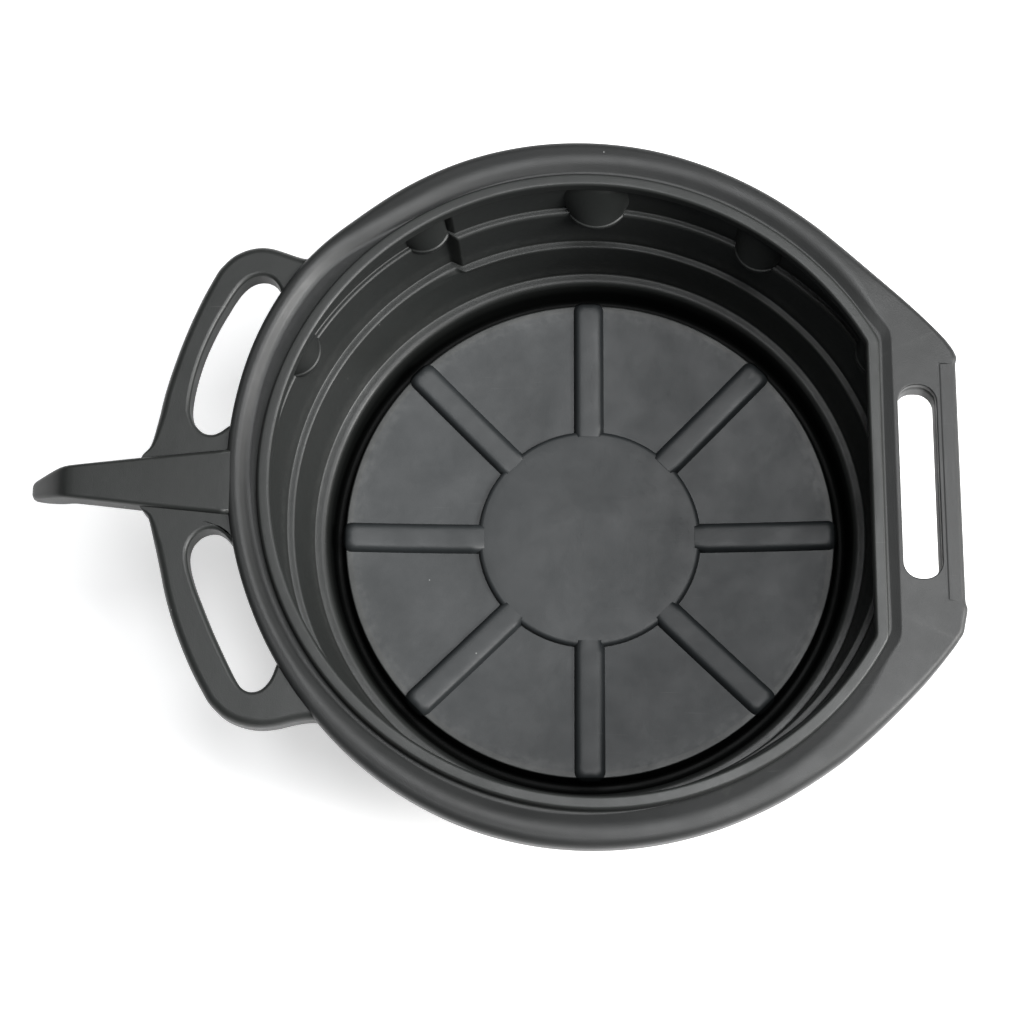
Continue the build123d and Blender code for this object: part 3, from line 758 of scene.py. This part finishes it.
for k in range(5):
    for i in range(m):
        j = (i + 1) % m
        grip.face([loops[k][i], loops[k][j], loops[k + 1][j], loops[k + 1][i]], [SN[k][i], SN[k][j], SN[k + 1][j], SN[k + 1][i]], facing=SN[k][i] + SN[k + 1][j])
for c, d in GP:
    grip.flat([TOP[tc["groove"], c], TOP[tc["groove"], d], LOW[la, d], LOW[la, c]], facing=(-COS[c], -SIN[c], 0))
for c, sgn in ((g_cols[0], -1), (g_cols[-1], 1)):
    poly = [TOP[i, c] for i in range(tc["groove"], len(TOP))] + [LOW[i, c] for i in range(len(LOW) - 1, la - 1, -1)]
    grip.flat(poly, facing=np.array([-SIN[c], COS[c], 0]) * sgn)
grip.write(BLACK_RIM)


def tube(name, loops3, material, **kw):
    """A closed ring: each loop joins the next, and the last joins the first."""
    p = Piece(name)
    n, m = len(loops3), len(loops3[0])
    for k in range(n):
        A, B = loops3[k], loops3[(k + 1) % n]
        for i in range(m):
            j = (i + 1) % m
            p.faces.append([A[i], A[j], B[j], B[i]])
            p.normals.append([np.zeros(3)] * 4)
    return p.write(material, smooth_all=True, **kw)


ring = []
for off, z in ((0.0, 143.0), (0.0, 137.0), (0.0, 131.0), (0.0, 127.4), (0.3, 126.5), (1.0, 126.1), (1.6, 126.1), (2.3, 126.5), (2.6, 127.4), (2.6, 133.0), (2.6, 142.0), (2.6, 143.0)):
    o = rounded_slot(off)
    ring.append(np.column_stack([o, np.full(len(o), z)]))
tube("grip_slot_collar", ring, BLACK_RIM)


# ------------------------------------------------------- floor disc, ribs, lugs
def solid(name, groups, material):
    """Closed pieces in one mesh, each from stacked loops with a closing face at both ends."""
    p = Piece(name)
    for loops3 in groups:
        m = len(loops3[0])
        for k in range(len(loops3) - 1):
            A, B = loops3[k], loops3[k + 1]
            for i in range(m):
                j = (i + 1) % m
                p.faces.append([A[i], A[j], B[j], B[i]])
                p.normals.append([np.zeros(3)] * 4)
        for L, rev in ((loops3[0], True), (loops3[-1], False)):
            h = m // 2
            for i in range(h - 1):
                q = [L[i], L[i + 1], L[m - 2 - i], L[m - 1 - i]]
                p.faces.append(q[::-1] if rev else q)
                p.normals.append([np.zeros(3)] * 4)
    return p.write(material, smooth_all=True)


t = np.radians(np.arange(0, 360, 2.5))
z_disc = float(floor_z(R_DISC)) + H_DISC
disc = []
for r, z in ((R_DISC + 0.5, z_disc - H_DISC - 0.8), (R_DISC + 0.1, z_disc - 2.6), (R_DISC - 0.3, z_disc - 1.5), (R_DISC - 0.9, z_disc - 0.75), (R_DISC - 1.8, z_disc - 0.25), (R_DISC - 3.0, z_disc),
             (R_DISC - 8.0, z_disc + 0.02), (60, z_disc), (40, z_disc - 0.06), (20, z_disc - 0.12), (6, z_disc - 0.15)):
    disc.append(np.column_stack([r * np.cos(t), r * np.sin(t), np.full(len(t), z)]))
solid("center_disc", [disc], BLACK_FLOOR)


def rib_loop(x0, x1, w, c, n=7):
    """Rounded bar outline from x0 to x1, half width w, end corners c, symmetric about its middle."""
    half = [(x0, w)]
    for k in range(9):
        half.append((x0 + (x1 - c - x0) * (k + 1) / 9, w))
    for k in range(1, n + 1):
        a = math.pi / 2 * k / n
        half.append((x1 - c + c * math.sin(a), w - c + c * math.cos(a)))
    half.append((x1, max(w - c, 0.1) * 0.5))
    full = half + [(x, -y) for x, y in half[::-1]]
    return np.array(full)


ribs = []
for k in range(8):
    a = math.radians(45.0 * k)
    R = np.array([[math.cos(a), -math.sin(a)], [math.sin(a), math.cos(a)]])
    group = []
    for w, x1, h, c in ((10.3, 163.4, -1.2, 6.2), (10.05, 162.9, 0.0, 6.0), (9.45, 161.9, 1.6, 5.8), (8.9, 161.0, 2.8, 5.6), (8.2, 160.0, 3.7, 5.4), (7.3, 158.9, 4.35, 5.0), (6.2, 157.6, 4.7, 4.6), (4.9, 156.0, 4.85, 4.0), (3.0, 153.6, 4.9, 2.8), (1.2, 151.4, 4.92, 1.1)):
        L = rib_loop(R_DISC - 4.0, x1, w, c)
        r = np.abs(L[:, 0])
        z = floor_z(np.minimum(r, 161.0)) + h
        xy = L @ R.T
        group.append(np.column_stack([xy, z]))
    ribs.append(group)
solid("floor_ribs", ribs, BLACK_FLOOR)

lugs = []
for sgn in (1,):
    for q, nose, rad in ((27.0, 192.4, 16.5), (56.3, 184.1, 16.5), (88.3, 181.2, 20.8), (120.3, 194.0, 16.5), (152.3, 195.2, 16.5)):
        c_ = col(q)
        bulged = q > 117.2
        u_in, u_out = (H3_IN[c_], H3_OUT[c_]) if bulged else (L3_IN[c_], L3_OUT[c_])
        w_top = u_out + 1.2 if bulged else max(u_out + 1.6, 196.4)
        w_low = mix(H2_OUT[c_] if bulged else L2_OUT[c_], u_in, 0.5)
        axis = nose + rad
        top_r = ((0.84 * rad) ** 2 + 3.2 ** 2) / 6.4
        top_axis = w_top - 3.2 + top_r
        a0 = math.radians(q) * sgn
        group = []
        low = axis - (w_low + 1.0)
        levels = [(95.0, axis, max(low, 5.0), w_low + 1.2), (100.0, axis, mix(max(low, 5.0), rad + 1.5, 0.42), w_low + 1.3), (105.0, axis, mix(max(low, 5.0), rad + 1.5, 0.80), w_low + 1.4), (108.6, axis, rad + 1.2, u_in + 1.1), (110.6, axis, rad + 1.5, u_in + 1.2),
                  (111.5, axis, rad + 1.3, u_in + 1.2), (111.85, axis, rad + 0.9, u_in + 1.4), (111.95, axis, rad + 0.4, u_in + 1.6), (112.25, axis, rad + 0.1, u_out + 0.8), (113.0, axis, rad, u_out + 1.0)]
        for z in (116.0, 121.0, 127.0, 133.0, 138.0, 143.4):
            f = min((z - 112.0) / 31.0, 1.0)
            levels.append((z, mix(axis, top_axis, f), mix(rad, top_r, f), mix(u_out, w_top, f) + 1.2))
        for z, axis_z, rr, back in levels:
            # half-round nose towards the axis of the pan, closed along the wall's inside
            cosb = np.clip((axis_z * axis_z + rr * rr - back * back) / (2 * axis_z * rr), -1, 1)
            phi = math.acos(cosb)
            arc_ = np.linspace(-phi, phi, 33)
            xy = [(axis_z - rr * math.cos(v), rr * math.sin(v)) for v in arc_]
            b = math.atan2(xy[-1][1], xy[-1][0])
            xy += [(back * math.cos(v), back * math.sin(v)) for v in np.linspace(b, -b, 13)[1:-1]]
            if q == 120.3:
                # this lug runs into the upright step of the wall
                lim = math.radians(q - 116.9)
                xy2 = []
                for x, y in xy:
                    t_, r_ = math.atan2(y, x), math.hypot(x, y)
                    t_ = max(t_, -lim)
                    xy2.append((r_ * math.cos(t_), r_ * math.sin(t_)))
                xy = xy2
            ca, sa = math.cos(a0), math.sin(a0)
            xy = [(x * ca - y * sgn * sa, x * sa + y * sgn * ca) for x, y in xy]
            if sgn < 0:
                xy = xy[::-1]
            group.append(np.array([(x, y, z) for x, y in xy]))
        # an even count of points lets the closing faces pair up
        lugs.append([np.vstack([g, g[:1] * 0.5 + g[-1:] * 0.5]) if len(g) % 2 else g for g in group])
solid("wall_lugs", lugs, BLACK)


# ---------------------------------------------------------------- loop handles
def offset_curve(C, d):
    t_ = np.gradient(C, axis=0)
    n_ = np.stack([-t_[:, 1], t_[:, 0]], -1)
    n_ /= np.maximum(np.linalg.norm(n_, axis=1, keepdims=True), 1e-9)
    return C + n_ * d, n_


def smooth_open(C, k, it=2):
    for _ in range(it):
        pad = np.vstack([2 * C[0] - C[1:k + 1][::-1], C, 2 * C[-1] - C[-k - 1:-1][::-1]])
        cs = np.cumsum(np.vstack([np.zeros((1, 2)), pad]), axis=0)
        C = (cs[2 * k + 1:] - cs[:-2 * k - 1]) / (2 * k + 1)
    return C


def handle(name, outer_parts, slot_parts, counts, top, low):
    """C-shaped band between an outer outline and a slot outline, matched part by part."""
    O = np.vstack([resample(spline(p_, 10), n_ + 1, closed=False)[(0 if i == 0 else 1):] for i, (p_, n_) in enumerate(zip(outer_parts, counts))])
    S = np.vstack([resample(spline(p_, 10), n_ + 1, closed=False)[(0 if i == 0 else 1):] for i, (p_, n_) in enumerate(zip(slot_parts, counts))])
    O, S = smooth_open(O, 1, 1), smooth_open(S, 1, 1)
    side = np.sign(np.cross(np.gradient(O, axis=0)[len(O) // 2], S[len(S) // 2] - O[len(O) // 2]))
    _, nO = offset_curve(O, 0)
    _, nS = offset_curve(S, 0)
    nO, nS = nO * side, -nS * side           # both point into the band
    cols = np.arange(len(O))
    ro = np.interp(cols, [0, 17, 24, 34], [0.3, 0.3, 3.0, 5.5])[:, None]
    ob = np.interp(cols, [0, 17, 24], [0.2, 0.2, 1.6])[:, None]
    rs, rbot = 2.6, 1.6
    rows, norms = [], []

    def add(P, z, n_):
        rows.append(np.column_stack([P, np.full(len(P), z) if np.isscalar(z) else z]))
        norms.append(n_)

    up = np.zeros((len(O), 1)) + 1.0
    for k in range(4):                       # bottom edge, outer side
        f = math.pi / 2 * k / 3
        add(O + nO * ob * (1 - math.sin(f)), (low + ob * (1 - math.cos(f)))[:, 0], np.hstack([-nO * math.sin(f), -up * math.cos(f)]))
    for k in range(8):                       # top edge, outer side
        f = math.pi / 2 * k / 7
        add(O + nO * ro * (1 - math.cos(f)), (top - ro * (1 - math.sin(f)))[:, 0], np.hstack([-nO * math.cos(f), up * math.sin(f)]))
    a_, b_ = O + nO * ro, S + nS * rs
    for fr in (0.25, 0.5, 0.75):
        add(a_ + (b_ - a_) * fr, top, np.hstack([up * 0, up * 0, up]))
    for k in range(6):
        f = math.pi / 2 * k / 5
        add(S + nS * rs * (1 - math.sin(f)), top - rs * (1 - math.cos(f)), np.hstack([-nS * math.sin(f), up * math.cos(f)]))
    for k in range(4):
        f = math.pi / 2 * k / 3
        add(S + nS * rbot * (1 - math.cos(f)), low + rbot * (1 - math.sin(f)), np.hstack([-nS * math.cos(f), -up * math.sin(f)]))
    a_, b_ = S + nS * rbot, O + nO * ob
    for fr in (0.33, 0.67):
        add(a_ + (b_ - a_) * fr, low, np.hstack([up * 0, up * 0, -up]))
    p = Piece(name)
    n = len(rows)
    for k in range(n):
        A, B, NA, NB = rows[k], rows[(k + 1) % n], norms[k], norms[(k + 1) % n]
        for i in range(len(O) - 1):
            p.face([A[i], A[i + 1], B[i + 1], B[i]], [NA[i], NA[i + 1], NB[i + 1], NB[i]], facing=NA[i] + NB[i + 1])
    for i, o in ((0, 1), (-1, -2)):
        p.flat([r_[i] for r_ in rows], facing=np.append(O[i] - O[o], 0))
    return p.write(BLACK)


handle("upper_loop_handle",
       [[(-220.0, 11.0), (-240, 11.0), (-262, 11.5), (-276, 14.0)], [(-276, 14.0), (-274.2, 19.2), (-270.4, 24.0), (-268.2, 31.0)],
        [(-268.2, 31.0), (-266, 42.0), (-262.5, 60.0), (-257, 80.0), (-250, 101.0), (-241, 123.0), (-232, 141.0)],
        [(-232, 141.0), (-224, 149.4), (-215, 154.2), (-206, 156.0), (-198, 155.2), (-188, 151.8), (-176, 148.2), (-167.6, 150.6)]],
       [[(-215.5, 40.0), (-221.5, 38.0), (-226.8, 34.0), (-231.0, 32.2)], [(-231.0, 32.2), (-235.6, 32.6), (-240, 35.4), (-244.0, 40.4)],
        [(-244.0, 40.4), (-246.2, 47.0), (-245.6, 60.0), (-240.6, 82.0), (-232.4, 103.0), (-222.4, 122.0)],
        [(-222.4, 122.0), (-216.6, 130.2), (-210.6, 134.8), (-204, 136.2), (-197.5, 134.0), (-193.4, 129.0), (-191.4, 122.6)]],
       [14, 14, 46, 40], 147.0, 130.2)
handle("lower_loop_handle",
       [[(-220.0, -9.0), (-240, -9.0), (-262, -9.5), (-276, -11.5)], [(-276, -11.5), (-273.6, -15.6), (-270.0, -19.4), (-268.2, -25.0)],
        [(-268.2, -25.0), (-266, -34.0), (-262, -50.0), (-257, -71.0), (-250, -92.0), (-240, -115.0), (-229, -135.0)],
        [(-229, -135.0), (-219, -144.2), (-208, -149.0), (-198, -150.6), (-188, -149.8), (-174, -146.6), (-163, -146.0), (-153.8, -150.6)]],
       [[(-212.5, -39.5), (-217.6, -36.8), (-221.8, -31.8), (-226.4, -28.6)], [(-226.4, -28.6), (-231.6, -28.2), (-238, -30.6), (-242.6, -35.4)],
        [(-242.6, -35.4), (-244.4, -41.0), (-244.2, -48.0), (-241, -60.0), (-235, -75.0), (-227.6, -92.0), (-218.8, -110.0)],
        [(-218.8, -110.0), (-213, -120.8), (-208, -127.2), (-203, -129.2), (-197, -127.8), (-191.6, -122.0), (-187.6, -111.6)]],
       [14, 14, 46, 40], 147.0, 130.2)

# ------------------------------------------------------------------ hooked arm
arm_far = [(-219.4, 22.6), (-275, 17.4), (-324, 12.4), (-346.5, 8.0)]
arm_near = [(-219.4, -20.0), (-275, -14.2), (-324, -8.4), (-346.5, -3.4)]
stations = [(-219.4, 150.0, 136.4), (-226, 150.0, 136.4), (-240, 150.0, 136.4), (-258, 150.1, 136.4), (-276, 150.1, 136.4), (-294, 150.2, 136.4), (-308, 150.2, 136.3), (-315, 150.1, 136.0),
            (-319.0, 149.8, 134.6), (-322.0, 149.0, 132.4), (-325.5, 147.0, 129.8), (-330.0, 143.2, 126.6), (-335.5, 137.6, 123.2), (-340.0, 132.8, 121.8), (-343.4, 129.2, 121.5), (-345.4, 126.8, 122.2), (-346.2, 125.4, 123.0)]
arm = []
for k, (x, zt, zb) in enumerate(stations):
    yf = np.interp(-x, [-p_[0] for p_ in arm_far], [p_[1] for p_ in arm_far])
    yn = np.interp(-x, [-p_[0] for p_ in arm_near], [p_[1] for p_ in arm_near])
    shrink = {15: 0.8, 16: 2.2}.get(k, 0.0)
    yf, yn = yf - shrink, yn + shrink
    r_t, r_b = min(2.8, (zt - zb) * 0.42, (yf - yn) * 0.3), min(1.4, (zt - zb) * 0.3)
    d = 0.5                                  # draft of the two sides
    pts = []
    for cy, cz, rr, a0 in ((yf - r_t - d, zt - r_t, r_t, 0), (yn + r_t + d, zt - r_t, r_t, 90), (yn + r_b, zb + r_b, r_b, 180), (yf - r_b, zb + r_b, r_b, 270)):
        for i in range(6):
            a = math.radians(a0 + 90 * i / 5)
            pts.append((x, cy + rr * math.cos(a), cz + rr * math.sin(a)))
    arm.append(np.array(pts))
# start the loops at the middle of the top so that the closing faces pair up
arm = [np.roll(L, -6, axis=0) for L in arm]
solid("hooked_arm", [arm], BLACK)

for name, ob in PIECES.items():
    if name == "rim_flange":
        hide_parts("rim_flange", "rim_groove", "rim_skirt")
    elif name == "grip_plate":
        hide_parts("grip_plate", "grip_skirt")
    elif name == "foot_ring":
        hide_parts("foot_ring", "foot_riser", "channel_wall")
    else:
        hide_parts(name)

# ------------------------------------------------------------ stage and camera
floor_me = bpy.data.meshes.new("studio_floor")
n = 48
vs = [(6 * math.cos(2 * math.pi * i / n), 6 * math.sin(2 * math.pi * i / n), -0.0002) for i in range(n)]
floor_me.from_pydata(vs, [], [list(range(n))])
floor_ob = bpy.data.objects.new("studio_floor", floor_me)
bpy.context.scene.collection.objects.link(floor_ob)
fm = bpy.data.materials.new("studio_paper")
fm.use_nodes = True
fb = fm.node_tree.nodes["Principled BSDF"]
fb.inputs["Base Color"].default_value = (0.93, 0.93, 0.93, 1)
fb.inputs["Roughness"].default_value = 0.9
fb.inputs["Specular IOR Level"].default_value = 0.1
fb.inputs["Emission Color"].default_value = (1, 1, 1, 1)
fb.inputs["Emission Strength"].default_value = 0.55
floor_me.materials.append(fm)

cam = bpy.data.cameras.new("camera")
cam.lens = 2500.0 / 1024.0 * 36.0
cam.sensor_width = 36.0
cam.clip_end = 50.0
cam_ob = bpy.data.objects.new("camera", cam)
bpy.context.scene.collection.objects.link(cam_ob)
fw = Vector((-0.03416836, 0.2616515, -0.96455742))
right = Vector((0.99940726, 0.00488765, -0.03407703))
up = Vector((0.00420189, 0.96515004, 0.26166341))
C = Vector((0.005536, -0.416584, 1.614428))
M = Matrix.Identity(4)
for i in range(3):
    M[i][0], M[i][1], M[i][2], M[i][3] = right[i], up[i], -fw[i], C[i]
cam_ob.matrix_world = M
bpy.context.scene.camera = cam_ob


def area(name, pos, target, size, power, colour=(1, 1, 1)):
    li = bpy.data.lights.new(name, "AREA")
    li.shape = "RECTANGLE"
    li.size, li.size_y = size
    li.energy = power
    li.color = colour
    ob = bpy.data.objects.new(name, li)
    bpy.context.scene.collection.objects.link(ob)
    d = Vector(target) - Vector(pos)
    ob.rotation_euler = d.to_track_quat("-Z", "Y").to_euler()
    ob.location = pos
    return ob


area("key", (1.9, -0.42, 1.50), (0, 0, 0.08), (1.0, 1.0), 90.0, (1.0, 0.995, 0.985))
area("top", (0.40, 0.10, 2.3), (0, 0, 0.1), (1.5, 1.1), 44.0, (0.98, 0.99, 1.0))
world = bpy.data.worlds.new("studio")
bpy.context.scene.world = world
world.use_nodes = True
bg = world.node_tree.nodes["Background"]
bg.inputs["Color"].default_value = (0.97, 0.985, 1.0, 1)
bg.inputs["Strength"].default_value = 0.08
bpy.context.scene.view_settings.view_transform = "Standard"
bpy.context.scene.view_settings.look = "None"
